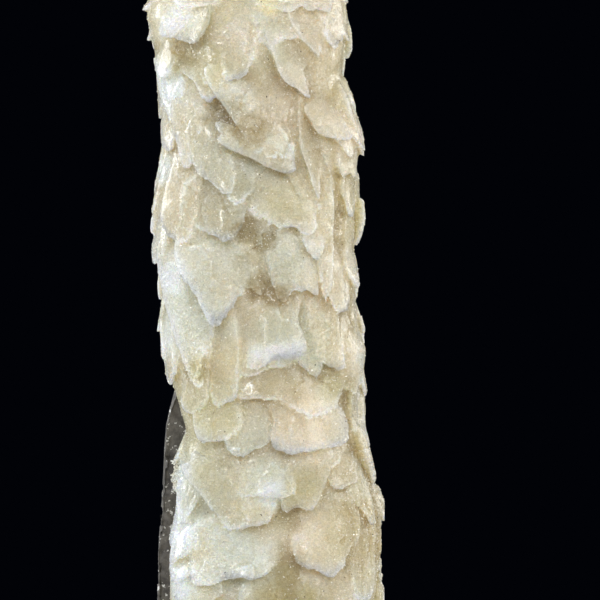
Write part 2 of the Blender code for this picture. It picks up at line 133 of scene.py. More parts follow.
# Blades, roughly from the top down, with the fields of Blade.
BLADES = [
    (-28.2, 152.2, 12, 18, -3, 3.2, 0, 4),
    (-21, 151.5, 13, 12, -12, 5.2, 0, 5),
    (-13, 137.8, 11.5, 20, 10, 2.6, 0, 2),
    (-12, 140.5, 4.5, 11, 5, 3.6, 0, 2),
    (-6, 142.5, 9.5, 24, -4, 3.3, 0, 3),
    (8, 121.2, 9, 27, 35, 3, -12, 1.5),
    (9.2, 119.8, 6.5, 19, 57, 4.8, -12, 1.5),
    (11.5, 138.2, 8, 16.5, 22, 3.6, -22, 1.8),
    (15, 147, 5.5, 18, 20, 3, -24, 1.8),
    (19.5, 150, 9, 16, -5, 3, 0, 2.2),
    (22.5, 151, 9, 14, 0, 3, 0, 2.2),
    (5.8, 150.5, 11, 18, 5, 2.3, 0, 2.5),
    (-25, 142.5, 8, 8, -20, 3.4, 0, 1.6),
    (-21, 136.5, 7, 12, 12, 3, 0, 1.6),
    (-22, 133.8, 5, 13, 25, 2.3, 0, 1.8),
    (-24.8, 133.5, 6, 7, -10, 2.6, 0, 1.8),
    (-23, 124.2, 7, 12, 0, 2.4, 0, 2),
    (-17.5, 122.5, 9, 19, 0, 1.7, 0, 2.4),
    (-9, 114.5, 10, 17.5, 17, 3.3, 0, 1.8),
    (-5, 112, 7, 11, 5, 2.5, 0, 2),
    (5, 107, 22, 24, 0, 1.7, 0, 4),
    (-11, 102.8, 15, 19, -3, 3.5, 4, 2.2),
    (-21.2, 102.2, 10, 20, 0, 3.6, 0, 4),
    (14.5, 113.2, 6, 29, 5, 3.7, -20, 1.6),
    (22, 128, 8, 12, 42, 2.6, 0, 2.5),
    (23.8, 123.8, 7, 10, 38, 2.2, 0, 3),
    (25.3, 125.6, 10.5, 13, -6, 4, 0, 2.8),
    (22.5, 117.2, 9, 11, 0, 3.1, 0, 2.2),
    (22.5, 109.2, 6, 11, 12, 2.5, 0, 1.8),
    (16.8, 87.5, 4, 28, 0, 3.1, 25, 1.6),
    (12.2, 104.2, 9, 12, 22, 2.9, 0, 2),
    (-9.8, 82, 15.5, 29, 10, 4.2, -4, 1.9),
    (-0.5, 89.2, 4, 9, 22, 1.6, 0, 1.7),
    (8, 87, 8.5, 20, 11, 3, 0, 2),
    (14.8, 97.5, 5, 11, 18, 3.3, 0, 1.8),
    (12.5, 88.8, 6, 10, 5, 3.1, 0, 3),
    (20.5, 84, 9, 15, 5, 2.9, 0, 2.2),
    (24, 90.8, 7, 9, 0, 3, 0, 2),
    (-25.8, 97, 8, 9, -5, 3.6, 0, 1.7),
    (-15, 69.2, 11.5, 30, 9, 3.1, 0, 2),
    (-16, 67, 8, 12, -12, 2.3, 0, 2),
    (-26, 78.8, 8, 12, 5, 3.5, 0, 1.8),
    (-21.5, 67, 5, 16, 12, 2.9, 0, 1.6),
    (3.3, 71.5, 17, 17, 3, 6, 6, 3.4),
    (0.5, 69.4, 14, 9, 5, 2.4, 0, 3.4),
    (-8.5, 62, 8, 22, 0, 3, 12, 4),
    (12.6, 68.6, 8, 16, -8, 2.4, 0, 1.9),
    (19.2, 70, 8.5, 18, 10, 2.6, 0, 2.4),
    (27, 63.5, 12, 23, 0, 6.2, 0, 1.8),
    (23, 63, 6, 19, 0, 3.2, 20, 1.8),
    (13, 50.2, 20, 15, 3, 5.2, 0, 4.5),
    (13.8, 59, 15, 10, 0, 4.4, 0, 2.4),
    (-17, 59.5, 9, 11, -18, 2.3, 0, 2),
    (-10.5, 52, 13, 15, 5, 1.9, 0, 2.5),
    (1.2, 63, 16, 8, 3, 2.7, 0, 4),
    (-2.5, 48.8, 12, 14, 0, 1.7, 0, 2.5),
    (23.8, 55.5, 5.5, 9, 5, 2.7, 0, 2),
    (27.5, 45.5, 8.5, 13, 18, 3.4, 26, 1.6),
    (3, 38.2, 17, 12, 6, 4.6, 0, 2.2),
    (-1.5, 30.8, 15, 13, 6, 3.1, 0, 2.2),
    (8, 34, 11, 19, -24, 2.7, 0, 2),
    (18.2, 46.2, 4.5, 6, 5, 2.8, 0, 2),
    (22.5, 41, 9, 8, 15, 2.9, 0, 2),
    (-22, 46, 8, 8, -15, 3.1, 0, 1.7),
    (-22.5, 42, 4, 7, -50, 2.7, 0, 1.3),
    (-3.2, 31.2, 8, 20, 36, 2.7, 0, 1.6),
    (-19, 32, 9, 14, 0, 2.7, 0, 2),
    (-20.8, 22, 8, 11, 0, 3.6, 0, 2.2),
    (-20.8, 16.8, 9, 8, 0, 3.1, 0, 2.2),
    (-6, 17, 23.5, 16, 12, 4.6, 0, 2.3),
    (15.5, 19.2, 16, 18, -8, 4.1, 0, 2.1),
    (31.2, 17.5, 9, 22, 0, 3.1, 0, 2),
    (28, 32, 6, 16, 8, 2.7, 0, 1.8),
    (31.4, 32.5, 7, 12, 0, 3.1, 0, 1.8),
    (25.5, 12, 8, 19, 0, 2.3, 15, 1.8),
    (-4, 10.5, 8, 11, -30, 3.1, 0, 1.8),
    (3, 7.5, 5, 10, 5, 2.2, 0, 1.8),
    (-17.5, 9.5, 13, 11, -5, 3.6, 0, 2.2),
    (15.5, 4, 13, 16, 0, 2.3, 0, 2.5),
]

# Rows of blades that grew between and around the listed ones.
WILD_SEED = 11
WILD_ROW_STEP = 12.0
WILD_SPACING = 13.5
WILD_WIDTH = (9.0, 16.0)
WILD_LENGTH = (10.0, 17.0)
WILD_PROUD = (1.4, 3.6)
WILD_ROLL = 26.0
WILD_SKEW = 14.0
WILD_SQUARENESS = (1.9, 3.0)
WILD_STRAY = 8.0  # degrees that one strays round the column from its even place
WILD_SCATTER = 0.3  # share of a row's step that one strays up or down
FRONT_HALF_ANGLE = 80.0  # inside it, and in FRONT_HEIGHTS, only listed blades grow
FRONT_HEIGHTS = (4.0, 158.0)
FLANK_ANGLE = 118.0  # inside it the wild blades have grown together, and lie low
FLANK_PROUD = 0.4

SHOULDER = 148.0  # above it the column closes in, and the wild blades are shorter and straighter
TIP_SHARE = 0.6
LOWEST_ROW = WILD_ROW_STEP * 0.3
HIGHEST_ROW = 173.0

THICKNESS_SPREAD = (0.8, 1.15)  # in BLADE_THICKNESS
SEEN_ANGLE = 95.0  # nothing beyond it is seen from the front
HALVINGS = 24


def lerp(a, b, t):
    return a + (b - a) * t


def faces_at(stations, z):
    """What a list of stations gives at a height, between two of them."""
    z = min(max(z, stations[0][0]), stations[-1][0])
    below = max(station for station in stations if station[0] <= z)
    above = min(station for station in stations if station[0] >= z)
    t = (z - below[0]) / (above[0] - below[0]) if above[0] > below[0] else 0.0
    return [lerp(a, b, t) for a, b in zip(below[1:], above[1:])]


def core_section(z):
    """Centre and half sizes of the column's section at a height."""
    left, right, front, back = faces_at(CORE_STATIONS, z)
    return (left + right) / 2, (front + back) / 2, (right - left) / 2, (back - front) / 2


def core_surface(angle, z):
    """Point and level outward normal on the column, at an angle from the front, positive rightwards."""
    cx, cy, half_x, half_y = core_section(z)
    east, north = math.sin(math.radians(angle)), -math.cos(math.radians(angle))
    p = CORE_SQUARENESS
    radius = (abs(east / half_x) ** p + abs(north / half_y) ** p) ** (-1 / p)
    x, y = radius * east, radius * north
    slope_x = math.copysign(abs(x) ** (p - 1) / half_x**p, x)
    slope_y = math.copysign(abs(y) ** (p - 1) / half_y**p, y)
    height = min(z, CORE_STATIONS[-1][0])
    return Vector((cx + x, cy + y, height)), Vector((slope_x, slope_y, 0.0)).normalized()


def angle_seen_at(x, z, proud):
    """Angle round the column at which something this proud of it is seen at x from the front."""
    low, high = -SEEN_ANGLE, SEEN_ANGLE
    for _ in range(HALVINGS):
        middle = (low + high) / 2
        point, normal = core_surface(middle, z)
        if point.x + normal.x * proud < x:
            low = middle
        else:
            high = middle
    return (low + high) / 2


def turned(vector, degrees, axis):
    return Matrix.Rotation(math.radians(degrees), 3, axis) @ vector


def blade_placement(angle, z, length, roll, proud, skew):
    """Matrix that puts a blade on the column: its X runs across, its Z from the lip up to the root,
    and its -Y out of its face."""
    foot, outward = core_surface(angle, z)
    head, _ = core_surface(angle, z + length)
    down = (foot - head).normalized()
    across = outward.cross(down).normalized()
    normal = down.cross(across)
    down = turned(down, roll, normal)
    across = turned(across, roll, normal)
    down = turned(down, -math.degrees(math.atan((proud + ROOT_DEPTH) / length)), across)
    across = turned(across, skew, down)
    face = down.cross(across)
    rotation = Matrix((across, -face, -down)).transposed()
    return Matrix.Translation(foot + normal * proud) @ rotation.to_4x4()


class Plate(NamedTuple):
    """A blade in its place, with the random choices that the CAD model makes for it."""

    matrix: Matrix
    width: float
    length: float
    squareness: float
    phase: float
    thickness: float


def placed(angle, z, width, length, roll, proud, skew, squareness, rng):
    whole_length = length * (1 + ROOT_SHARE)
    proud *= RELIEF
    matrix = blade_placement(angle, z, whole_length, roll, proud, skew)
    phase = rng.uniform(0, math.tau)
    thickness = BLADE_THICKNESS * rng.uniform(*THICKNESS_SPREAD)
    rng.uniform(0, math.tau)  # the CAD model turns the corners of its outline by this
    return Plate(matrix, width, whole_length, squareness, phase, thickness)


def on_bare_rock(angle, z):
    """True where the slab shows, at the back and low on the left, and no blade hides it."""
    low_left = z < BARE_LEFT_TOP and -BARE_BACK < angle < BARE_LEFT
    return low_left or (z < BARE_BACK_TOP and abs(angle) > BARE_BACK)


def wild_plates(rng):
    """The blades of the CAD model's rows, in its own order."""
    z = LOWEST_ROW
    while z < HIGHEST_ROW:
        _, _, half_x, half_y = core_section(z)
        count = round(math.pi * (half_x + half_y) / WILD_SPACING)
        start = rng.uniform(0, 360)
        for i in range(count):
            angle = (start + 360 * i / count + rng.uniform(-WILD_STRAY, WILD_STRAY) + 180) % 360 - 180
            height = z + rng.uniform(-WILD_SCATTER, WILD_SCATTER) * WILD_ROW_STEP
            width, length = rng.uniform(*WILD_WIDTH), rng.uniform(*WILD_LENGTH)
            roll, skew = rng.uniform(-WILD_ROLL, WILD_ROLL), rng.uniform(-WILD_SKEW, WILD_SKEW)
            squareness = rng.uniform(*WILD_SQUARENESS)
            at_front = abs(angle) < FRONT_HALF_ANGLE and FRONT_HEIGHTS[0] < height < FRONT_HEIGHTS[1]
            proud = rng.uniform(*WILD_PROUD)
            if height > SHOULDER:
                length, roll = length * TIP_SHARE, roll * TIP_SHARE
            if at_front or on_bare_rock(angle, height):
                continue
            if abs(angle) < FLANK_ANGLE and height < SHOULDER:
                proud *= FLANK_PROUD
            yield placed(angle, height, width, length, roll, proud, skew, squareness, rng)
        z += WILD_ROW_STEP


# ---- fine shape of the quartz

FINE_SEED = 29
# Rings of a blade from its back, round its thin rim, to the middle of its face: reach, shift to the
# lip, and depth in thicknesses.
PLATE_RINGS = [
    (0.72, 0, 1.5),
    (0.90, 0, 0.5),
    (0.985, 0, -0.12),
    (1, 0, -0.34),
    (0.97, 0.01, -0.43),
    (0.90, 0.05, -0.47),
    (0.76, 0.12, -0.49),
    (0.62, 0.16, -0.5),
    (0.46, 0.16, -0.515),
    (0.30, 0.15, -0.53),
    (0.15, 0.15, -0.54),
]
FIRST_FACE_RING = 3
# The points in the middle of its back and of its face: depth in thicknesses, and height in lengths.
PLATE_MIDDLES = [(1.5, 0.5), (-0.55, 0.43)]
PLATE_CORNERS = 56
BLADE_LOBES = 4
BLADE_CHIPS = 0.02
OUTLINE_STRAY = 0.05
OUTLINE_WAVES = (2, 3, 5)  # waves to one turn of the outline
RAGGED_WAVES = (6, 9, 14)
RAGGED_SHARE = 1.6
BLUNTEST = 2.0  # least exponent of an outline, so that lips are worn and not sharp points

SHEETED_AREA = 160.0  # wild blades of more than this width times length carry a thinner sheet
SHEET_THICKNESS = 0.9
SHEET_SIZE = (0.55, 0.75)  # in sizes of its blade, as are the next two
SHEET_ASIDE = 0.18
SHEET_SET_BACK = (0.12, 0.3)
SHEET_RAISED = 0.15
SHEET_TWIST = 14.0
SHEET_SQUARENESS = (1.6, 3.0)
SHEET_CHIPS = 0.016
SHEET_TONE = 0.8  # share of its blade's tone

SPLINTERS = 160
SPLINTERED_FROM = 98.0  # angle from the front
SPLINTER_HEIGHTS = (1.0, 172.0)
SPLINTER_WIDTH = (2.5, 6.0)
SPLINTER_LENGTH = (6.0, 12.0)
SPLINTER_PROUD = (0.3, 0.9)
SPLINTER_ROLL = 40.0
SPLINTER_SKEW = 15.0
SPLINTER_SQUARENESS = (1.3, 2.4)
SPLINTER_CORNERS = 24
SPLINTER_CHIPS = 0.04

CORE_LEVELS = 92
CORE_SMOOTH_SIDES = 64
CORE_ENDS = [(3.0, 0.0, -3.0), (-2.5, 0.0, 180.5)]
FINE_VOXEL = 0.32
ROCK_VOXEL = 0.5
CREASE_ROUNDS = 22
CREASE_DEPTH = 0.03
EVENLY_THINNED = 235000  # triangles left before the back is thinned more
MOST_TRIANGLES = 190000
BACK_FROM = 2.0  # y behind which the mesh gets coarser

# Smooth noises: strength, size in millimetres, and seed.
NOISES = {
    "swell": (0.5, 12.0, 1),
    "ripple": (0.14, 5.5, 2),
    "grain": (1.0, 1.0, 3),
    "growth_lines": (1.0, 1.1, 4),
    "clouds": (0.10, 14.0, 20),
    "small_clouds": (0.08, 5.0, 25),
    "speckles": (0.045, 1.3, 26),
    "cool": (0.6, 17.0, 21),
    "olive": (0.6, 19.0, 22),
    "pink": (0.4, 15.0, 23),
    "patch_edges": (0.25, 3.0, 24),
    "druse": (1.0, 7.0, 31),
    "pocket_edges": (0.40, 3.0, 41),
    "pocket_grain": (0.15, 0.9, 42),
    "rock_grain": (0.15, 1.5, 53),
}
# Facets: size and steps in millimetres, how much they lean, and seed.
WORN_FACETS = (6.0, 0.05, 0.04, 5)
ROCK_BREAKS = (9.0, 0.55, 0.16, 51)
ROCK_CHIPS = (3.5, 0.12, 0.18, 52)
FACET_SQUASH = np.array([1.0, 1.0, 0.6])  # makes facets taller than wide
LINE_SQUASH = np.array([1.0, 1.0, 0.22])  # and growth lines long
LINE_DEPTH = 0.34
GRAIN_DEPTH = (0.03, 0.06)  # everywhere, and what is added in hollows
ALL_BITS = 0xFFFFFFFF


class Gathered:
    """Closed pieces of mesh gathered in one, in millimetres, with what colours their faces."""

    def __init__(self):
        self.points = []
        self.faces = []
        self.count = 0
        self.samples = []

    def add(self, points, faces):
        self.points.append(np.asarray(points, float))
        self.faces.extend([[corner + self.count for corner in face] for face in faces])
        self.count += len(points)

    def sample(self, points, lip, tone):
        """Keeps face points with how near each is to the lip, from 0 to 1, and the blade's tone."""
        tones = np.tile(tone, (len(points), 1))
        self.samples.append(np.concatenate([points, lip[:, None], tones], axis=1))

    def mesh(self, name):
        made = bpy.data.meshes.new(name)
        made.from_pydata((np.concatenate(self.points) * MM).tolist(), [], self.faces)
        return made


def ring_faces(corners, rings):
    """Faces of stacked rings with a point in the middle of the first and of the last."""
    first, last = corners * rings, corners * rings + 1
    faces = []
    for side in range(corners):
        after = (side + 1) % corners
        for ring in range(rings - 1):
            low, high = ring * corners, (ring + 1) * corners
            faces.append([low + after, low + side, high + side, high + after])
        faces.append([side, after, first])
        top = (rings - 1) * corners
        faces.append([top + after, top + side, last])
    return faces


def add_plate(shape, plate, corners, chips, dice, tone):
    """A blade with a thin, chipped rim and a rounded face. North is up its face, away from the lip."""
    turns = np.arange(corners) * math.tau / corners
    east, north = np.cos(turns), np.sin(turns)
    p = max(plate.squareness, BLUNTEST)
    reach = (np.abs(east) ** p + np.abs(north) ** p) ** (-1 / p)
    reach *= 1 + BLADE_CHIPPING * np.sin(BLADE_LOBES * turns + plate.phase)
    stray = sum(np.sin(k * turns + dice.uniform(0, math.tau)) for k in OUTLINE_WAVES)
    reach *= 1 + OUTLINE_STRAY * stray
    waves = sum(np.sin(k * turns + dice.uniform(0, math.tau)) / k for k in RAGGED_WAVES)
    ragged = dice.normal(size=corners) + RAGGED_SHARE * waves
    reach *= 1 + chips * ragged * np.clip(0.5 - north, 0.15, 1)  # most of all at the lip
    points, lips = [], []
    for share, shift, depth in PLATE_RINGS:
        x = east * reach * share * plate.width / 2
        y = depth * plate.thickness + x * x / (2 * BEND_RADIUS)
        z = (north * reach * share + 1 - shift) * plate.length / 2
        points.append(np.stack([x, y, z], axis=1))
        lips.append(share**2 * np.clip(0.45 - 0.7 * north, 0, 1))  # 1 at the lip, 0 up at the root
    middles = [(0, depth * plate.thickness, plate.length * share) for depth, share in PLATE_MIDDLES]
    points = np.concatenate([*points, middles])
    matrix = np.array(plate.matrix)
    points = points @ matrix[:3, :3].T + matrix[:3, 3]
    shape.add(points, ring_faces(corners, len(PLATE_RINGS)))
    face = slice(FIRST_FACE_RING * corners, len(PLATE_RINGS) * corners)
    shape.sample(points[face], np.concatenate(lips)[face], tone)


def sheet_on(plate, dice):
    """A thinner sheet that lies on a blade's face, set back from its lip."""
    size = dice.uniform(*SHEET_SIZE)
    aside = dice.uniform(-SHEET_ASIDE, SHEET_ASIDE) * plate.width
    set_back = dice.uniform(*SHEET_SET_BACK) * plate.length
    raised = -plate.thickness / 2 - dice.uniform(-SHEET_RAISED, SHEET_RAISED)
    offset = Matrix.Translation((aside, raised, set_back))
    twist = Matrix.Rotation(math.radians(dice.uniform(-SHEET_TWIST, SHEET_TWIST)), 4, "Y")
    return Plate(
        plate.matrix @ offset @ twist,
        plate.width * size,
        plate.length * size,
        dice.uniform(*SHEET_SQUARENESS),
        dice.uniform(0, math.tau),
        SHEET_THICKNESS,
    )


def splinters(dice):
    """Small low blades scattered over the column."""
    for _ in range(SPLINTERS):
        angle, z = dice.uniform(-180, 180), dice.uniform(*SPLINTER_HEIGHTS)
        width, length = dice.uniform(*SPLINTER_WIDTH), dice.uniform(*SPLINTER_LENGTH)
        roll = dice.uniform(-SPLINTER_ROLL, SPLINTER_ROLL)
        skew = dice.uniform(-SPLINTER_SKEW, SPLINTER_SKEW)
        proud = dice.uniform(*SPLINTER_PROUD)
        squareness, phase = dice.uniform(*SPLINTER_SQUARENESS), dice.uniform(0, math.tau)
        if abs(angle) < SPLINTERED_FROM or on_bare_rock(angle, z):
            continue
        matrix = blade_placement(angle, z, length, roll, proud, skew)
        yield Plate(matrix, width, length, squareness, phase, BLADE_THICKNESS)


def smooth_core():
    """The column under the blades, in close rings."""
    low, high = CORE_STATIONS[0][0], CORE_STATIONS[-1][0]
    rings = []
    for level in range(CORE_LEVELS):
        z = lerp(low, high, level / (CORE_LEVELS - 1))
        for side in range(CORE_SMOOTH_SIDES):
            point, _ = core_surface(360 * side / CORE_SMOOTH_SIDES, z)
            rings.append(tuple(point))
    return rings + CORE_ENDS


def quartz_form():
    """The core, its blades, the sheets on them and the splinters between, still as loose shells."""
    rng = random.Random(WILD_SEED)
    dice = np.random.default_rng(FINE_SEED)
    shape = Gathered()
    shape.add(smooth_core(), ring_faces(CORE_SMOOTH_SIDES, CORE_LEVELS))
    plates = []
    for blade in map(Blade._make, BLADES):
        angle = angle_seen_at(blade.x, blade.z, blade.proud * RELIEF)
        plates.append(placed(angle, *blade[1:], rng))
    listed = len(plates)
    plates.extend(wild_plates(rng))
    for index, plate in enumerate(plates):
        tone = dice.uniform(-1, 1, 3)
        add_plate(shape, plate, PLATE_CORNERS, BLADE_CHIPS, dice, tone)
        if index >= listed and plate.width * plate.length > SHEETED_AREA:
            sheet = sheet_on(plate, dice)
            add_plate(shape, sheet, PLATE_CORNERS, SHEET_CHIPS, dice, tone * SHEET_TONE)
    for splinter in splinters(dice):
        tone = dice.uniform(-1, 1, 3)
        add_plate(shape, splinter, SPLINTER_CORNERS, SPLINTER_CHIPS, dice, tone)
    return shape


def applied(target):
    """The target's mesh with its modifiers worked in."""
    evaluated = target.evaluated_get(bpy.context.evaluated_depsgraph_get())
    made = bpy.data.meshes.new_from_object(evaluated)
    target.modifiers.clear()
    target.data = made
    return made


def read(items, name, width, kind):
    """A property of each of a mesh's items, as rows of some width."""
    flat = np.empty(len(items) * width, kind)
    items.foreach_get(name, flat)
    return flat.reshape(-1, width)


def points_of(mesh):
    return read(mesh.vertices, "co", 3, np.float32).astype(float) / MM


def set_points(mesh, points):
    mesh.vertices.foreach_set("co", (points * MM).astype(np.float32).ravel())
    mesh.update()


def normals_of(mesh):
    return read(mesh.vertex_normals, "vector", 3, np.float32).astype(float)


def relaxed(mesh, points, rounds):
    """The points after some rounds of moving each one to the middle of its neighbours."""
    ends = read(mesh.edges, "vertices", 2, np.int32)
    one, other = np.concatenate([ends[:, 0], ends[:, 1]]), np.concatenate([ends[:, 1], ends[:, 0]])
    count = np.maximum(np.bincount(one, minlength=len(points)), 1)
    for _ in range(rounds):
        sums = [np.bincount(one, weights=points[other, axis], minlength=len(points)) for axis in range(3)]
        points = np.stack(sums, axis=1) / count[:, None]
    return points


def hashed(cells, seed):
    """A number from 0 to 1 for each whole-numbered cell, its bits mixed by large odd numbers."""
    x, y, z = (cells[..., axis].astype(np.int64) for axis in range(3))
    mixed = (x * 374761393 + y * 668265263 + z * 1442695041 + seed * 362437) & ALL_BITS
    mixed = ((mixed ^ (mixed >> 13)) * 1274126177) & ALL_BITS
    return (mixed ^ (mixed >> 16)) / ALL_BITS


def fade(values, none, full):
    """Shares that go straight from 0 at none to 1 at full."""
    return np.clip((values - none) / (full - none), 0, 1)


def noise(points, name):
    """One of the smooth NOISES at each point, from minus to plus its strength."""
    strength, size, seed = NOISES[name]
    scaled = points / size
    low = np.floor(scaled)
    t = scaled - low
    t = t * t * (3 - 2 * t)
    total = np.zeros(len(points))
    for corner in np.ndindex(2, 2, 2):
        weight = np.prod(np.where(corner, t, 1 - t), axis=1)
        total += weight * hashed(low + corner, seed)
    return strength * (total * 2 - 1)


def facets(points, size, step, tilt, seed):
    """Height of a surface broken into flat facets, each stepped and tilted at random."""
    scaled = points / size * FACET_SQUASH
    home = np.floor(scaled)
    best = np.full(len(points), np.inf)
    height = np.zeros(len(points))
    for corner in np.ndindex(3, 3, 3):
        cell = home + corner - 1
        shares = [hashed(cell, seed + axis) for axis in range(7)]
        offset = scaled - cell - np.stack(shares[:3], axis=1)
        away = (offset**2).sum(axis=1)
        lean = np.stack(shares[3:6], axis=1) * 2 - 1
        plane = step * (shares[6] * 2 - 1) + tilt * size * (lean * offset).sum(axis=1)
        height = np.where(away < best, plane, height)
        best = np.minimum(best, away)
    return height


def mesh_from(bm, name):
    made = bpy.data.meshes.new(name)
    bm.to_mesh(made)
    bm.free()
    return made


def new_piece(name, data):
    made = bpy.data.objects.new(name, data)
    bpy.context.scene.collection.objects.link(made)
    return made


# ---- host rock

ON_FACE = 0.99  # a corner of the cube from -1 to 1 lies on a face when a coordinate is beyond this
BASE_CUTTER = 0.1  # side of the cube that levels the base, in metres
ROCK_SUNK = (-2.2, 0.0)
ROCK_RIDGES = 0.75  # height of the break that stays in the plain faces of the slab
ROCK_EDGE = 1.5  # height over the base below which the break fades out


def slab_form(grow):
    """The slab of host rock, grown outwards by some millimetres. A negative number shrinks it, but
    for its back and its foot."""
    rng = random.Random(SLAB_SEED)
    bm = bmesh.new()
    bmesh.ops.create_cube(bm, size=2.0)
    bmesh.ops.subdivide_edges(bm, edges=bm.edges[:], cuts=SLAB_CUTS, use_grid_fill=True)
    top = SLAB_STATIONS[-1][0]
    for vert in bm.verts:
        x, y, z = vert.co
        height = (z + 1) / 2 * top
        left, right = faces_at(SLAB_STATIONS, height)
        stray = Vector(rng.uniform(-SLAB_ROUGHNESS, SLAB_ROUGHNESS) for _ in range(3))
        point = Vector((lerp(left, right, (x + 1) / 2), SLAB_FRONT + SLAB_THICKNESS * (y + 1) / 2, height))
        if x > ON_FACE:
            point.x += stray.x / 2
        if y > ON_FACE:
            point.y += stray.y
        if z > ON_FACE:
            point.z += stray.z / 2
        for axis, side in enumerate((x, y, z)):
            if abs(side) > ON_FACE:
                point[axis] += grow * side
        if y > ON_FACE:
            point.y += abs(grow) - grow
        if z < -ON_FACE:
            point.z = -abs(grow)
        vert.co = point * MM
    bmesh.ops.triangulate(bm, faces=bm.faces[:], quad_method="FIXED")
    return mesh_from(bm, "slab_form")


def block_below_base():
    bm = bmesh.new()
    bmesh.ops.create_cube(bm, size=BASE_CUTTER, matrix=Matrix.Translation((0, 0, -BASE_CUTTER / 2)))
    return mesh_from(bm, "below_base")


def add_modifier(target, kind, **settings):
    made = target.modifiers.new(kind.lower(), kind)
    for name, value in settings.items():
        setattr(made, name, value)


def cut_by(target, mesh):
    cutter = new_piece("cutter", mesh)
    add_modifier(target, "BOOLEAN", operation="DIFFERENCE", solver="MANIFOLD", object=cutter)
    applied(target)
    bpy.data.objects.remove(cutter)


def keep_largest(mesh):
    """Removes all but the body with the most vertices."""
    ends = read(mesh.edges, "vertices", 2, np.int32)
    label = np.arange(len(mesh.vertices))
    while True:
        lowest = np.minimum(label[ends[:, 0]], label[ends[:, 1]])
        before = label.copy()
        np.minimum.at(label, ends[:, 0], lowest)
        np.minimum.at(label, ends[:, 1], lowest)
        label = label[label]
        if (label == before).all():
            break
    names, sizes = np.unique(label, return_counts=True)
    keep = label == names[sizes.argmax()]
    if keep.all():
        return
    bm = bmesh.new()
    bm.from_mesh(mesh)
    bm.verts.ensure_lookup_table()
    bmesh.ops.delete(bm, geom=[bm.verts[i] for i in np.flatnonzero(~keep)], context="VERTS")
    bm.to_mesh(mesh)
    bm.free()


def soften_creases(mesh):
    """Rounds the hollow creases where blades run into the column. Lips and what is under them stay sharp."""
    points = points_of(mesh)
    for _ in range(CREASE_ROUNDS):
        smoother = relaxed(mesh, points, 3)
        normals = normals_of(mesh)
        hollow = ((smoother - points) * normals).sum(axis=1)
        weight = fade(hollow, 0, CREASE_DEPTH)
        weight *= np.clip(0.6 + 2.5 * normals[:, 2], 0, 1)  # nothing on faces that look down
        points = points + (smoother - points) * weight[:, None]
        set_points(mesh, points)


# Sandy hollows in the front: x, z, half width, half height, depth, and how much deeper their colour is.
POCKETS = [
    (-2.6, 104.4, 3.6, 2.6, 1, 0.40),
    (0.6, 102.2, 3, 2.4, 0.9, 0.36),
    (-0.6, 90.6, 3, 3.4, 1, 0.34),
    (3.2, 88.4, 3.8, 2.6, 1.1, 0.36),
    (19.2, 107, 2, 3.5, 0.7, 0.28),
    (19, 101, 2.4, 3, 0.6, 0.24),
    (-8, 134.5, 5.5, 3.8, 0.8, 0.22),
    (-2.5, 130.5, 4.5, 3.8, 0.8, 0.22),
]


def pockets_at(points):
    """Depth of the sandy hollows at each point, and how much deeper their colour is."""
    ragged = noise(points, "pocket_edges") + noise(points, "pocket_grain")
    in_front = np.clip(-1 - points[:, 1] / 6, 0, 1)  # none at y = -6, whole at -12
    sunk, sandy = np.zeros(len(points)), np.zeros(len(points))
    for x, z, half_width, half_height, depth, sand in POCKETS:
        away = np.hypot((points[:, 0] - x) / half_width, (points[:, 2] - z) / half_height) + ragged
        share = fade(away, 1.6, 0.5)
        share = in_front * share * share * (3 - 2 * share)
        sunk, sandy = np.maximum(sunk, depth * share), np.maximum(sandy, sand * share)
    return sunk, sandy


def add_surface_relief(mesh):
    """Moves the fine surface in and out as worn, etched quartz: ripples, grains and growth lines."""
    points = points_of(mesh)
    normals = normals_of(mesh)
    hollow = cavity(mesh, points, normals, 6)
    relief = noise(points, "swell") + noise(points, "ripple")
    relief += facets(points, *WORN_FACETS)
    relief += (GRAIN_DEPTH[0] + GRAIN_DEPTH[1] * fade(hollow, 0, 0.25)) * noise(points, "grain")
    low_right = fade(points[:, 0], 17, 23) * fade(points[:, 2], 60, 45)
    relief += LINE_DEPTH * low_right * noise(points * LINE_SQUASH, "growth_lines")
    depth, _ = pockets_at(points)
    points += normals * relief[:, None]
    points[:, 1] += depth
    set_points(mesh, kept_in_box(points))


def cavity(mesh, points, normals, rounds):
    """How far each point lies below its neighbourhood, in millimetres: positive in hollows."""
    return ((relaxed(mesh, points, rounds) - points) * normals).sum(axis=1)


# ---- colours of the quartz

# The quartz's colours from deep and sandy to palest, the paler the less yellow. The palest are reached at
# the blades' lips and ridges by painted highlight, and the deepest partly by painted shade in hollows.
DEEP = (0.47, 0.395, 0.235)
MIDDLE = (0.72, 0.67, 0.52)
PALEST = (0.97, 0.965, 0.91)
# Which of them, from 0 for DEEP to 1 for PALEST: on the bare column, and what is added elsewhere.
COLUMN_LEVEL = 0.36
BLADE_LEVEL = 0.06
TONE_LEVEL = 0.12  # either way, from blade to blade
# Painted highlight for light shining through the thin blades: paler towards their lips, palest at the rim.
LIP_PAINTED_HIGHLIGHT = 0.14
RIM_PAINTED_HIGHLIGHT = 0.50
# Painted highlight on ridges, where edges catch the light.
RIDGE_PAINTED_HIGHLIGHT = 0.38
# Painted shade: the hollows darker and browner, where little light falls.
WIDE_HOLLOW_PAINTED_SHADE = -0.16
HOLLOW_PAINTED_SHADE = -0.10
HUES = {
    "cool": (0.915, 1.0, 1.06),
    "pink": (1.04, 0.985, 0.95),
    "yellow": (1.04, 0.99, 0.76),
    "olive": (0.97, 1.0, 0.86),
}
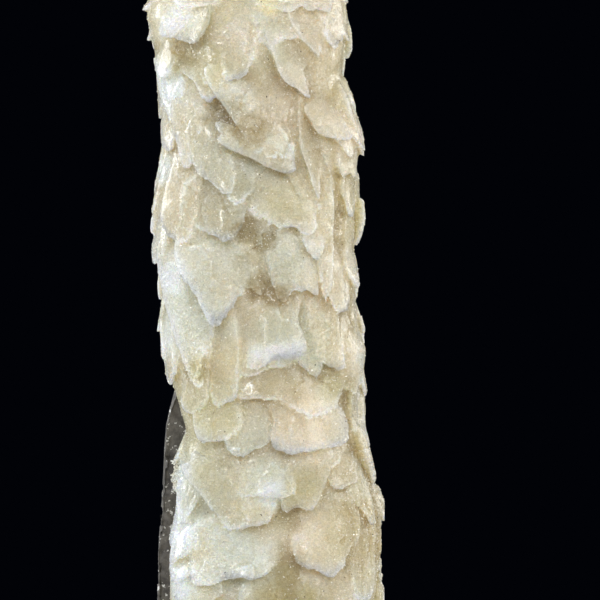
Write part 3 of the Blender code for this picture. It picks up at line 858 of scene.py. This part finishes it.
# Patches of the front: x, z and radius in millimetres, how much paler (+) or deeper (-) the quartz
# looks there, and its hue with a strength. The pale, cool patches from x = -19 leftwards are painted
# cool highlights on the left flank, and the three small pale, cool ones near z = 74 are a painted
# highlight along a blade's lip; the others are the quartz's own tone.
PATCHES = [
    (-20, 156, 6, 0.6, "cool", 0.3),
    (-20, 149, 4.5, -0.4, "yellow", 0.3),
    (-13.5, 147.5, 9, -0.15, "olive", 0.6),
    (-4, 153, 8, 0.3, "pink", 0.3),
    (14, 157, 9, 0.22, "pink", 0.4),
    (2, 161, 3, 0.1, "yellow", 1),
    (-24, 141, 7, 0.35, "cool", 0.9),
    (-10, 122, 8, 0.12, "cool", 0.6),
    (-22, 94, 5, 0.5, "cool", 0.5),
    (-24.5, 120, 4, 0.4, "cool", 0.9),
    (21.5, 131, 8, 0.25, "pink", 0.5),
    (25.5, 128, 4, 0, "pink", 1),
    (8, 135, 9, -0.10, "pink", 0.7),
    (6, 112, 8, -0.08, "olive", 0.5),
    (18.5, 67, 5, -0.35, "olive", 1),
    (-15.2, 70.6, 3.5, -0.35, "olive", 1),
    (8.2, 34, 4.5, -0.35, "olive", 0.8),
    (11, 41, 5, -0.2, "olive", 0.7),
    (7.5, 22.5, 5, -0.44, "olive", 0.8),
    (3, 13, 7, -0.44, "olive", 0.8),
    (11, 13, 6, -0.30, "olive", 0.8),
    (-9.5, 84, 3.5, 0.1, "yellow", 0.8),
    (7.2, 97.5, 8, 0.1, "cool", 0.8),
    (-18, 83.5, 11, 0.05, "cool", 0.9),
    (-24.5, 77.5, 6, 0.45, "cool", 0.5),
    (5, 78, 9, 0, "cool", 0.9),
    (-0.5, 74.6, 3, 0.5, "cool", 0.4),
    (4, 73.8, 3.2, 0.55, "cool", 0.4),
    (8.8, 74.8, 3, 0.5, "cool", 0.4),
    (-9, 72, 6, 0, "yellow", 0.4),
    (6, 64.5, 9, -0.3, "yellow", 0.2),
    (24, 73, 7, 0.2, "pink", 0.3),
    (27.5, 72, 3, 0.2, "cool", 1),
    (12, 56.5, 10, 0.15, "pink", 1),
    (-10, 60, 8, -0.12, "olive", 0.7),
    (1.5, 42.5, 7, 0.18, "cool", 0.9),
    (3, 39.6, 3.5, 0.38, "cool", 0.6),
    (-19, 37, 11, 0.1, "cool", 1),
    (-21.5, 45, 4.5, 0.45, "cool", 1),
    (-22.5, 38, 4.5, 0.45, "cool", 0.9),
    (-21.5, 30, 6.5, 0.6, "cool", 1),
    (-21, 17, 7, 0.55, "cool", 1),
    (-5.7, 22.5, 11, 0.05, "cool", 0.9),
    (14, 28.5, 10, 0.2, "pink", 0.9),
    (24.5, 29, 12, -0.3, "yellow", 0.4),
]


def ramp(level):
    """Colour from DEEP at 0 through MIDDLE at a half to PALEST at 1."""
    level = np.clip(level, 0, 1)[:, None]
    low = np.array(DEEP) + (np.array(MIDDLE) - DEEP) * np.clip(level * 2, 0, 1)
    return low + (np.array(PALEST) - MIDDLE) * np.clip(level * 2 - 1, 0, 1)


def hued(colours, name, weight):
    return colours * (1 + (np.array(HUES[name]) - 1) * np.clip(weight, 0, 1)[:, None])


class Faces:
    """Finds, for any point, how near it is to a blade's lip and that blade's tone."""

    def __init__(self, samples):
        self.samples = np.concatenate(samples)
        self.tree = kdtree.KDTree(len(self.samples))
        for index, row in enumerate(self.samples):
            self.tree.insert(row[:3], index)
        self.tree.balance()

    def look_up(self, points):
        """Share of blade rather than bare column, nearness to the lip, and tone, at each point."""
        found = [self.tree.find(point) for point in points]
        rows = self.samples[[index for _, index, _ in found]]
        away = np.array([distance for _, _, distance in found])
        on_blade = np.clip(1.6 - away / 0.9, 0, 1)  # nothing from 1.4 mm away
        return on_blade, rows[:, 3] * on_blade, rows[:, 4:] * on_blade[:, None]


def quartz_tints(points, normals, faces, hollow, wide_hollow):
    """Colour of the quartz at each point: sandy beige between the blades and milky on them, with painted
    highlight that whitens their lips and ridges, painted cool highlights on the left flank, and painted
    shade that darkens and browns the hollows."""
    on_blade, lip, tone = faces.look_up(points)
    level = COLUMN_LEVEL + BLADE_LEVEL * on_blade + TONE_LEVEL * tone[:, 0]
    # Painted highlight: paler towards the lips and palest at the rim.
    level += LIP_PAINTED_HIGHLIGHT * lip
    level += RIM_PAINTED_HIGHLIGHT * lip**5
    level += noise(points, "clouds") + noise(points, "small_clouds")
    level += noise(points, "speckles")
    # Painted shade in wide and near hollows.
    level += WIDE_HOLLOW_PAINTED_SHADE * fade(wide_hollow, 0, 0.8) + HOLLOW_PAINTED_SHADE * fade(hollow, 0, 0.15)
    # Painted highlight on ridges.
    level += RIDGE_PAINTED_HIGHLIGHT * np.clip(-hollow / 0.2 - 0.25, 0, 1)
    marks = {
        "cool": 0.15 * on_blade + 0.45 * tone[:, 1] + noise(points, "cool"),
        "pink": 0.35 * tone[:, 2] + noise(points, "pink"),
        "olive": noise(points, "olive"),
        "yellow": 0.25 * (1 - on_blade),
    }
    in_front = np.clip(0.4 - normals[:, 1] * 0.4 - (points[:, 1] + 4) / 8, 0, 1)
    ragged = noise(points, "patch_edges")
    for x, z, radius, step, hue, strength in PATCHES:
        away = np.hypot(points[:, 0] - x, points[:, 2] - z) / radius + ragged
        share = in_front * np.clip(1.6 - 1.3 * away, 0, 1)  # whole to nearly half the radius
        level += step * share
        for name in marks:
            marks[name] = marks[name] * (1 - share) + (strength * share if name == hue else 0)
    level -= pockets_at(points)[1]
    colours = ramp(level)
    for name, weight in marks.items():
        colours = hued(colours, name, weight)
    return colours


STRAY_KEPT = 0.2  # share of what strays beyond the CAD model's box that is kept
NOT_UNDER = np.array([1.0, 1.0, 0.0])  # and none of it under the flat base


def kept_in_box(points):
    """The points, with what strays beyond the CAD model's box pressed back to its faces."""
    low, high = np.array(CAD_BOX) / MM
    points = np.where(points > high, high + STRAY_KEPT * (points - high), points)
    return np.where(points < low, low + STRAY_KEPT * (points - low) * NOT_UNDER, points)


def give_colours(mesh, colours):
    layer = mesh.attributes.new("tint", "FLOAT_COLOR", "POINT")
    flat = np.concatenate([colours, np.ones((len(colours), 1))], axis=1)
    layer.data.foreach_set("color", flat.astype(np.float32).ravel())


# ---- druse

DRUSE_COUNT = 47000
DRUSE_SIZE = (0.15, 0.42)
DRUSE_SIZE_POWER = 1.3  # makes the small ones commoner
DRUSE_STRETCH = (0.45, 0.95)
# Whitening of the crystals: partly their own white, partly painted glints that make them read as sparkles.
DRUSE_SUNK = 0.35  # in sizes
DRUSE_WHITE_AND_GLINT = (-0.3, 1.0)  # where it is under 0, a crystal has the colour of what it sits on
# How thickly they grow: everywhere, and what wide hollows and the right flank add.
DRUSE_EVERYWHERE = 0.25
DRUSE_IN_HOLLOWS = 2.0
DRUSE_ON_FLANK = 1.5
DRUSE_FROM = 0.6  # height over the base
NEEDLES = 170
NEEDLE_SIZE = (0.12, 0.30)
NEEDLE_LENGTH = 5.0
NEEDLE_WHITENESS = 0.5
NEEDLE_SIDE = -16.0  # x left of which they grow
NEEDLE_SPOT = (-2.0, 43.5)  # y and z that they grow round, and how far from it
NEEDLE_REACH = (8.0, 3.5)
DARK_SHARE = 0.018
DARK_GRAIN = (0.10, 0.08, 0.055)
CRYSTAL = [(1, 1, 1), (1, -1, -1), (-1, 1, -1), (-1, -1, 1)]
CRYSTAL_FACES = [(0, 1, 2), (0, 3, 1), (0, 2, 3), (1, 3, 2)]


def triangles_of(mesh):
    mesh.calc_loop_triangles()
    return read(mesh.loop_triangles, "vertices", 3, np.int32)


def scattered(mesh, weights, count, dice):
    """Random places on a mesh, more of them where its vertices weigh more."""
    points = points_of(mesh)
    triangles = triangles_of(mesh)
    a, b, c = (points[triangles[:, corner]] for corner in range(3))
    normal = np.cross(b - a, c - a)
    area = np.linalg.norm(normal, axis=1)
    share = np.cumsum(area * weights[triangles].mean(axis=1))
    chosen = np.searchsorted(share, dice.uniform(0, share[-1], count))
    u, v = dice.uniform(size=(2, count))
    over = u + v > 1
    u, v = np.where(over, 1 - u, u), np.where(over, 1 - v, v)
    place = a[chosen] + (b - a)[chosen] * u[:, None] + (c - a)[chosen] * v[:, None]
    return place, normal[chosen] / area[chosen][:, None]


def random_turns(count, dice):
    """Rotation matrices that point anywhere, from random quaternions."""
    q = dice.normal(size=(count, 4))
    w, x, y, z = (q / np.linalg.norm(q, axis=1)[:, None]).T
    rows = [
        [1 - 2 * (y * y + z * z), 2 * (x * y - z * w), 2 * (x * z + y * w)],
        [2 * (x * y + z * w), 1 - 2 * (x * x + z * z), 2 * (y * z - x * w)],
        [2 * (x * z - y * w), 2 * (y * z + x * w), 1 - 2 * (x * x + y * y)],
    ]
    return np.moveaxis(np.array(rows), 2, 0)


def crystals(name, places, sizes, long, dice):
    """A joined mesh of small four-faced crystals, each as many times as long as it is wide."""
    corners = np.array(CRYSTAL, float)
    count = len(places)
    stretch = dice.uniform(*DRUSE_STRETCH, size=(count, 1, 3))
    stretch[:, 0, 2] *= long
    local = corners[None] * stretch * sizes[:, None, None]
    points = np.einsum("nij,nkj->nki", random_turns(count, dice), local) + places[:, None]
    faces = np.array(CRYSTAL_FACES)[None] + len(corners) * np.arange(count)[:, None, None]
    mesh = bpy.data.meshes.new(name)
    kept = kept_in_box(points.reshape(-1, 3)) * MM
    mesh.from_pydata(kept.tolist(), [], faces.reshape(-1, 3).tolist())
    return mesh


# ---- materials


def new_material(name):
    material = bpy.data.materials.new(name)
    material.use_nodes = True
    return material, material.node_tree.nodes


def add_node(nodes, kind, **values):
    node = nodes.new("ShaderNode" + kind)
    for name, value in values.items():
        if name in node.inputs:
            node.inputs[name].default_value = value
        else:
            setattr(node, name, value)
    return node


def join(start, output, end, socket):
    end.id_data.links.new(start.outputs[output], end.inputs[socket])


def set_inputs(node, values):
    for name, value in values.items():
        node.inputs[name].default_value = value


# Scales of patterns, in features to the metre.
COARSE_FACETS = 2400.0
FINE_FACETS = 4500.0
QUARTZ_MOTTLE = 2700.0
ROCK_BLOTCHES = 260.0
ROCK_FLECKS = 800.0
# The same for the blades and the druse.
QUARTZ_SHADER = {
    "IOR": 1.54,
    "Subsurface Radius": (1.0, 0.85, 0.62),
    "Subsurface Scale": 0.016,
    "Coat Weight": 0.3,
    "Coat Roughness": 0.15,
}
MOTTLE_RANGE = {"From Min": 0.3, "From Max": 0.7, "To Min": 0.74, "To Max": 1.18}
# The rock's darkest and palest colour, and where its blotches reach them.
ROCK_TONES = [(0.36, (0.030, 0.027, 0.024, 1)), (0.62, (0.145, 0.135, 0.120, 1))]
FLECK_COLOUR = (0.68, 0.68, 0.66, 1)
FLECK_RANGE = {"From Min": 0.86, "From Max": 0.89}
FLECK_CLUSTERING = 0.45  # how much likelier a fleck is in a pale blotch


def add_facets(nodes, place, scale, strength, under):
    """Bump of small flat crystal faces, each one leaning its own way."""
    cells = add_node(nodes, "TexVoronoi", Scale=scale)
    join(place, "Object", cells, "Vector")
    offset = add_node(nodes, "VectorMath", operation="SUBTRACT")
    join(place, "Object", offset, 0)
    join(cells, "Position", offset, 1)
    lean = add_node(nodes, "VectorMath", operation="SUBTRACT")
    join(cells, "Color", lean, 0)
    lean.inputs[1].default_value = (0.5, 0.5, 0.5)
    height = add_node(nodes, "VectorMath", operation="DOT_PRODUCT")
    join(offset, "Vector", height, 0)
    join(lean, "Vector", height, 1)
    relief = add_node(nodes, "Bump", Strength=strength, Distance=1.0)
    join(height, "Value", relief, "Height")
    if under:
        join(under, "Normal", relief, "Normal")
    return relief


def quartz_material(name, roughness, glow, bump):
    """Mottled, faceted quartz in its mesh's colours. Glow is the share of light that spreads in it."""
    material, nodes = new_material(name)
    shader = nodes["Principled BSDF"]
    set_inputs(shader, {"Roughness": roughness, "Subsurface Weight": glow, **QUARTZ_SHADER})
    tint = add_node(nodes, "Attribute", attribute_name="tint")
    place = add_node(nodes, "TexCoord")
    mottle = add_node(nodes, "TexNoise", Scale=QUARTZ_MOTTLE, Detail=3.0, Roughness=1.0)
    join(place, "Object", mottle, "Vector")
    spread = add_node(nodes, "MapRange", **MOTTLE_RANGE)
    join(mottle, "Fac", spread, "Value")
    shaded = add_node(nodes, "VectorMath", operation="SCALE")
    join(tint, "Color", shaded, 0)
    join(spread, "Result", shaded, "Scale")
    join(shaded, "Vector", shader, "Base Color")
    coarse = add_facets(nodes, place, COARSE_FACETS, bump, None)
    fine = add_facets(nodes, place, FINE_FACETS, bump, coarse)
    join(fine, "Normal", shader, "Normal")
    return material


def rock_material():
    """Dark rock, blotched with brown and flecked with white."""
    material, nodes = new_material("dark_rock")
    shader = nodes["Principled BSDF"]
    set_inputs(shader, {"Roughness": 0.6})
    place = add_node(nodes, "TexCoord")
    mottle = add_node(nodes, "TexNoise", Scale=ROCK_BLOTCHES, Detail=8.0, Roughness=0.75)
    join(place, "Object", mottle, "Vector")
    tones = add_node(nodes, "ValToRGB")
    for stop, (position, colour) in zip(tones.color_ramp.elements, ROCK_TONES):
        stop.position = position
        stop.color = colour
    join(mottle, "Fac", tones, "Fac")
    flecks = add_node(nodes, "TexNoise", Scale=ROCK_FLECKS, Detail=3.0, Roughness=0.6)
    join(place, "Object", flecks, "Vector")
    clustered = add_node(nodes, "Math", operation="MULTIPLY_ADD")
    join(mottle, "Fac", clustered, 0)
    clustered.inputs[1].default_value = FLECK_CLUSTERING
    join(flecks, "Fac", clustered, 2)
    picked = add_node(nodes, "MapRange", **FLECK_RANGE)
    join(clustered, "Value", picked, "Value")
    mixed = add_node(nodes, "MixRGB", Color2=FLECK_COLOUR)
    join(picked, "Result", mixed, "Fac")
    join(tones, "Color", mixed, "Color1")
    join(mixed, "Color", shader, "Base Color")
    relief = add_node(nodes, "Bump", Strength=0.6, Distance=0.0004)
    join(mottle, "Fac", relief, "Height")
    join(relief, "Normal", shader, "Normal")
    return material


def plain_material(name, colour, roughness):
    material, nodes = new_material(name)
    set_inputs(nodes["Principled BSDF"], {"Base Color": (*colour, 1), "Roughness": roughness})
    return material


# ---- pieces

NEAR_ROUNDS = 2  # rounds of smoothing that show the small hollows
WIDE_ROUNDS = 40


def ride_as(piece, slot, *replaced):
    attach(piece, "root")
    if replaced:
        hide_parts(*replaced)


def thinned(quartz):
    """Fewer triangles: all over at first, and then more of them from the back."""
    add_modifier(quartz, "DECIMATE", ratio=min(1.0, EVENLY_THINNED / len(triangles_of(quartz.data))))
    mesh = applied(quartz)
    behind = np.flatnonzero(points_of(mesh)[:, 1] > BACK_FROM)
    quartz.vertex_groups.new(name="back").add(behind.tolist(), 1.0, "REPLACE")
    ratio = min(1.0, MOST_TRIANGLES / len(triangles_of(mesh)))
    add_modifier(quartz, "DECIMATE", ratio=ratio, vertex_group="back", vertex_group_factor=1.0)
    mesh = applied(quartz)
    quartz.vertex_groups.clear()
    set_points(mesh, kept_in_box(points_of(mesh)))
    return mesh


def make_quartz():
    """The bladed quartz, with its blade faces and wide hollows, which also guide the druse."""
    shape = quartz_form()
    quartz = new_piece("quartz_blades", shape.mesh("quartz_form"))
    add_modifier(quartz, "REMESH", mode="VOXEL", voxel_size=FINE_VOXEL * MM)
    applied(quartz)
    keep_largest(quartz.data)
    soften_creases(quartz.data)
    add_surface_relief(quartz.data)
    cut_by(quartz, slab_form(-ROCK_BURIED))
    cut_by(quartz, block_below_base())
    keep_largest(quartz.data)
    mesh = thinned(quartz)
    mesh.shade_smooth()
    points, normals = points_of(mesh), normals_of(mesh)
    hollow = cavity(mesh, points, normals, NEAR_ROUNDS)
    wide_hollow = cavity(mesh, points, normals, WIDE_ROUNDS)
    faces = Faces(shape.samples)
    give_colours(mesh, quartz_tints(points, normals, faces, hollow, wide_hollow))
    mesh.materials.clear()
    mesh.materials.append(quartz_material("bladed_quartz_look", roughness=0.24, glow=1.0, bump=1.0))
    ride_as(quartz, "milky_quartz", "bladed_quartz")
    return quartz, faces, wide_hollow


def make_druse(quartz, faces, wide_hollow):
    """Fine crystals all over the quartz, thickest in its hollows, at its lips and on its right flank,
    and needles where it ends over the rock, low on the left."""
    dice = np.random.default_rng(FINE_SEED + 1)
    points = points_of(quartz.data)
    _, lip, _ = faces.look_up(points)
    low_right = fade(points[:, 0], 15, 23) * fade(points[:, 2], 70, 50)
    weights = DRUSE_EVERYWHERE + fade(wide_hollow, 0, 0.6) * DRUSE_IN_HOLLOWS + low_right * DRUSE_ON_FLANK
    weights += lip**3
    weights += noise(points, "druse").clip(0)
    weights *= points[:, 2] > DRUSE_FROM
    places, normals = scattered(quartz.data, weights, DRUSE_COUNT, dice)
    edge = (abs(points[:, 1:] - NEEDLE_SPOT) < NEEDLE_REACH).all(axis=1)
    edge &= points[:, 0] < NEEDLE_SIDE
    needle_places, needle_normals = scattered(quartz.data, edge.astype(float), NEEDLES, dice)
    sizes = dice.uniform(*DRUSE_SIZE, DRUSE_COUNT) ** DRUSE_SIZE_POWER
    sizes = np.concatenate([sizes, dice.uniform(*NEEDLE_SIZE, NEEDLES)])
    long = np.concatenate([np.ones(DRUSE_COUNT), np.full(NEEDLES, NEEDLE_LENGTH)])
    places = np.concatenate([places, needle_places])
    normals = np.concatenate([normals, needle_normals])
    sunk = places - normals * sizes[:, None] * DRUSE_SUNK
    mesh = crystals("quartz_druse", sunk, sizes, long, dice)
    flat = np.zeros(len(places))
    colours = quartz_tints(places, normals, faces, flat, flat)
    # Partly the crystals' own white, partly painted glints.
    white_and_glint = dice.uniform(*DRUSE_WHITE_AND_GLINT, len(places)).clip(0)[:, None]
    white_and_glint[DRUSE_COUNT:] = NEEDLE_WHITENESS
    colours = colours + (np.array(PALEST) - colours) * white_and_glint
    dark = dice.uniform(size=len(places)) < DARK_SHARE
    colours[dark] = DARK_GRAIN
    give_colours(mesh, np.repeat(colours, len(CRYSTAL), axis=0))
    mesh.materials.append(quartz_material("quartz_grains", roughness=0.12, glow=0.0, bump=0.2))
    druse = new_piece("quartz_druse", mesh)
    ride_as(druse, "milky_quartz")


def make_host_rock():
    """The slab, broken into flat chips that only ever go inwards from its form."""
    rock = new_piece("dark_rock_slab", slab_form(0.0))
    add_modifier(rock, "REMESH", mode="VOXEL", voxel_size=ROCK_VOXEL * MM)
    mesh = applied(rock)
    points, normals = points_of(mesh), normals_of(mesh)
    chipped = facets(points, *ROCK_BREAKS) + facets(points, *ROCK_CHIPS)
    chipped += noise(points, "rock_grain")
    sunk = np.clip(chipped - ROCK_RIDGES, *ROCK_SUNK) * fade(points[:, 2], 0, ROCK_EDGE)
    set_points(mesh, kept_in_box(points + normals * sunk[:, None]))
    mesh.shade_smooth()
    mesh.materials.clear()
    mesh.materials.append(rock_material())
    ride_as(rock, "dark_host_rock", "host_rock")


# ---- floor, light and camera

CAMERA_DISTANCE = 2.5
VIEW_CENTRE = (0.010, 0.0875)  # x and height that the camera looks at
VIEW_WIDTH = 0.150
FLOOR_RADIUS = 0.35
SENSOR = 36.0
WORLD_COLOUR = (0.0006, 0.0009, 0.0021, 1)
# Name, place and size in metres, power in watts, and colour.
LIGHTS = [
    ("key", (-0.45, -0.65, 0.62), 0.25, 4.4, (0.97, 0.98, 1.0)),
    ("fill", (0.50, -0.70, 0.48), 0.5, 5.9, (1.0, 0.96, 0.90)),
    ("left_rim", (-0.6, 0.15, 0.28), 0.25, 3.3, (0.96, 0.98, 1.0)),
    ("right_rim", (0.6, 0.20, 0.25), 0.3, 2.6, (1.0, 0.98, 0.95)),
    ("glint", (-0.25, -0.9, 0.35), 0.03, 1.2, (1.0, 1.0, 1.0)),
]


def make_floor():
    bm = bmesh.new()
    bmesh.ops.create_circle(bm, cap_ends=True, segments=96, radius=FLOOR_RADIUS)
    mesh = mesh_from(bm, "floor")
    mesh.materials.append(plain_material("pale_floor", colour=(0.62, 0.61, 0.59), roughness=0.8))
    new_piece("floor", mesh)


def make_light(name, place, size, power, colour):
    light = bpy.data.lights.new(name, "AREA")
    light.shape = "DISK"
    light.size = size
    light.energy = power
    light.color = colour
    lamp = new_piece(name, light)
    lamp.location = place
    towards = Vector((0, 0, VIEW_CENTRE[1])) - Vector(place)
    lamp.rotation_euler = towards.to_track_quat("-Z", "Y").to_euler()


def make_studio():
    world = bpy.data.worlds.new("dark_studio")
    bpy.context.scene.world = world
    world.use_nodes = True
    set_inputs(world.node_tree.nodes["Background"], {"Color": WORLD_COLOUR})
    for light in LIGHTS:
        make_light(*light)


def make_camera():
    camera = new_piece("camera", bpy.data.cameras.new("camera"))
    camera.data.sensor_width = SENSOR
    camera.data.lens = SENSOR * CAMERA_DISTANCE / VIEW_WIDTH
    camera.data.clip_end = 20
    camera.location = (VIEW_CENTRE[0], -CAMERA_DISTANCE, VIEW_CENTRE[1])
    camera.rotation_euler = (math.pi / 2, 0, 0)
    bpy.context.scene.camera = camera


bpy.context.scene.view_settings.view_transform = "Standard"
make_camera()
make_studio()
make_floor()
the_quartz, blade_faces, its_hollows = make_quartz()
make_druse(the_quartz, blade_faces, its_hollows)
make_host_rock()
